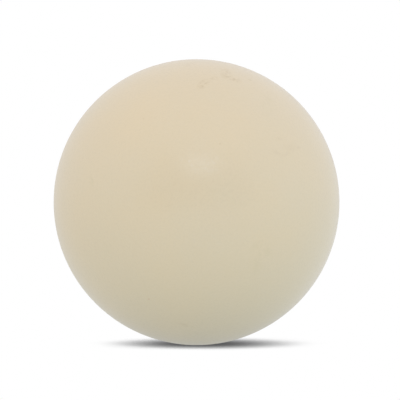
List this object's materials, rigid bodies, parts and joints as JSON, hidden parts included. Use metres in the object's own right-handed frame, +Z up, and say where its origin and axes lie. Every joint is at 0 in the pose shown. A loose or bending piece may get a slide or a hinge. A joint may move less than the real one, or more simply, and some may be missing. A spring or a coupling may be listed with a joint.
{
  "type": "mini pilates ball",
  "caption": "Small inflated exercise ball with a soft one-piece PVC skin, a moulded-in valve seat and a ribbed push-in stopper plug, resting on a small flat contact patch.",
  "frame": {"origin": "Middle of the flat patch that the inflated ball stands on, at floor level.", "axes": "+Z up. +Y out of the ball along the valve, away from the viewer. The side seen in the picture faces -Y, and +X is to its right."},
  "size_m": [0.23, 0.2299, 0.2296],
  "materials": {
    "soft_pvc_cream": "satin",
    "soft_pvc_seat": "satin",
    "polyethylene_natural": "satin"
  },
  "bodies": {
    "ball": {"ball_skin": "soft_pvc_cream", "valve_seat": "soft_pvc_seat"},
    "plug": {"valve_plug": "polyethylene_natural"}
  },
  "joints": [
    {"name": "plug_pull", "type": "slide", "parent": "ball", "child": "plug", "axis": [0, 1, 0], "range_m": [0, 0.03]}
  ]
}
